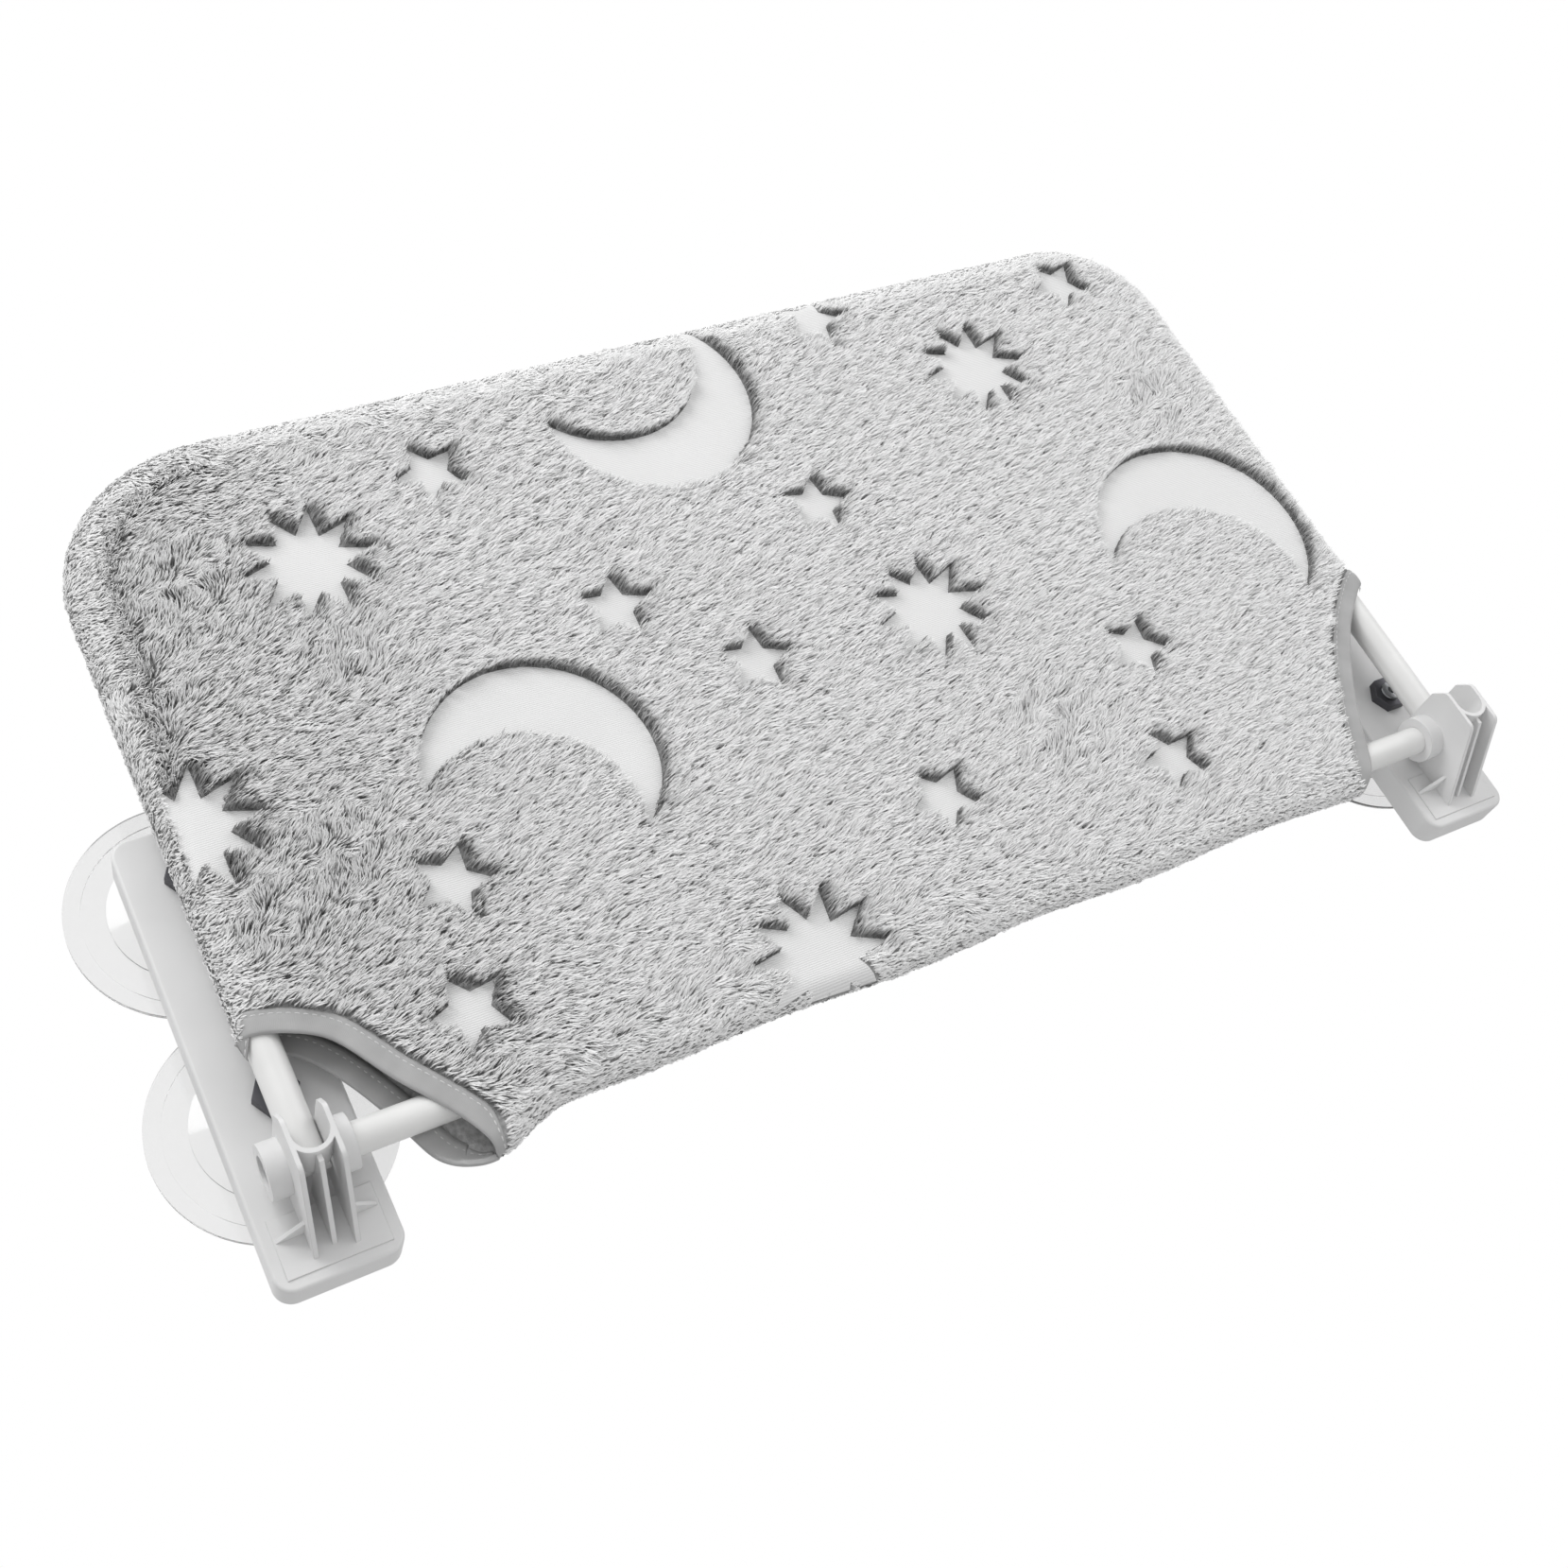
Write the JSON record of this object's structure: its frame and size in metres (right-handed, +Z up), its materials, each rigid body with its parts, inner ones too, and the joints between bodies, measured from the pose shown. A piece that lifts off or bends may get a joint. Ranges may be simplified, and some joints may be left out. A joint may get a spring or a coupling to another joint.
{
  "type": "window mounted cat perch",
  "caption": "Cat perch for a window: a plush sleeve over a folding steel tube frame, pivoted on moulded rails that hold suction cups.",
  "frame": {"origin": "on the window glass, in the middle of the four suction cups", "axes": "+X along the window, +Y into the glass, +Z up; the perch is folded up against the window at rest"},
  "size_m": [0.702, 0.075, 0.396],
  "materials": {
    "rail_plastic": "moulded",
    "cup_vinyl": "clear",
    "bright_steel": "plated",
    "dark_steel": "blackened",
    "coated_steel": "powder coat",
    "bush_plastic": "moulded",
    "plush": "short pile",
    "binding_tape": "woven tape"
  },
  "bodies": {
    "window_mounts": {"left_rail": "rail_plastic", "right_rail": "rail_plastic", "suction_cup_lower_left": "cup_vinyl", "stud_lower_left": "bright_steel", "nut_lower_left": "dark_steel", "suction_cup_lower_right": "cup_vinyl", "stud_lower_right": "bright_steel", "nut_lower_right": "dark_steel", "suction_cup_upper_left": "cup_vinyl", "stud_upper_left": "bright_steel", "nut_upper_left": "dark_steel", "suction_cup_upper_right": "cup_vinyl", "stud_upper_right": "bright_steel", "nut_upper_right": "dark_steel"},
    "frame": {"frame_tube_left": "coated_steel", "frame_tube_right": "coated_steel", "cross_tube": "coated_steel", "arm_knuckle_left": "coated_steel", "pivot_bush_left": "bush_plastic", "pivot_bolt_left": "bright_steel", "tube_plug_left": "bush_plastic", "arm_knuckle_right": "coated_steel", "pivot_bush_right": "bush_plastic", "pivot_bolt_right": "bright_steel", "tube_plug_right": "bush_plastic", "cover_upper_layer": "plush", "cover_lower_layer": "plush", "binding_upper_left": "binding_tape", "binding_upper_right": "binding_tape", "binding_lower_left": "binding_tape", "binding_lower_right": "binding_tape"}
  },
  "joints": [
    {"name": "fold", "type": "hinge", "parent": "window_mounts", "child": "frame", "pos_m": [0, -0.0465, -0.086], "axis": [1, 0, 0], "range_deg": [0, 90]}
  ]
}
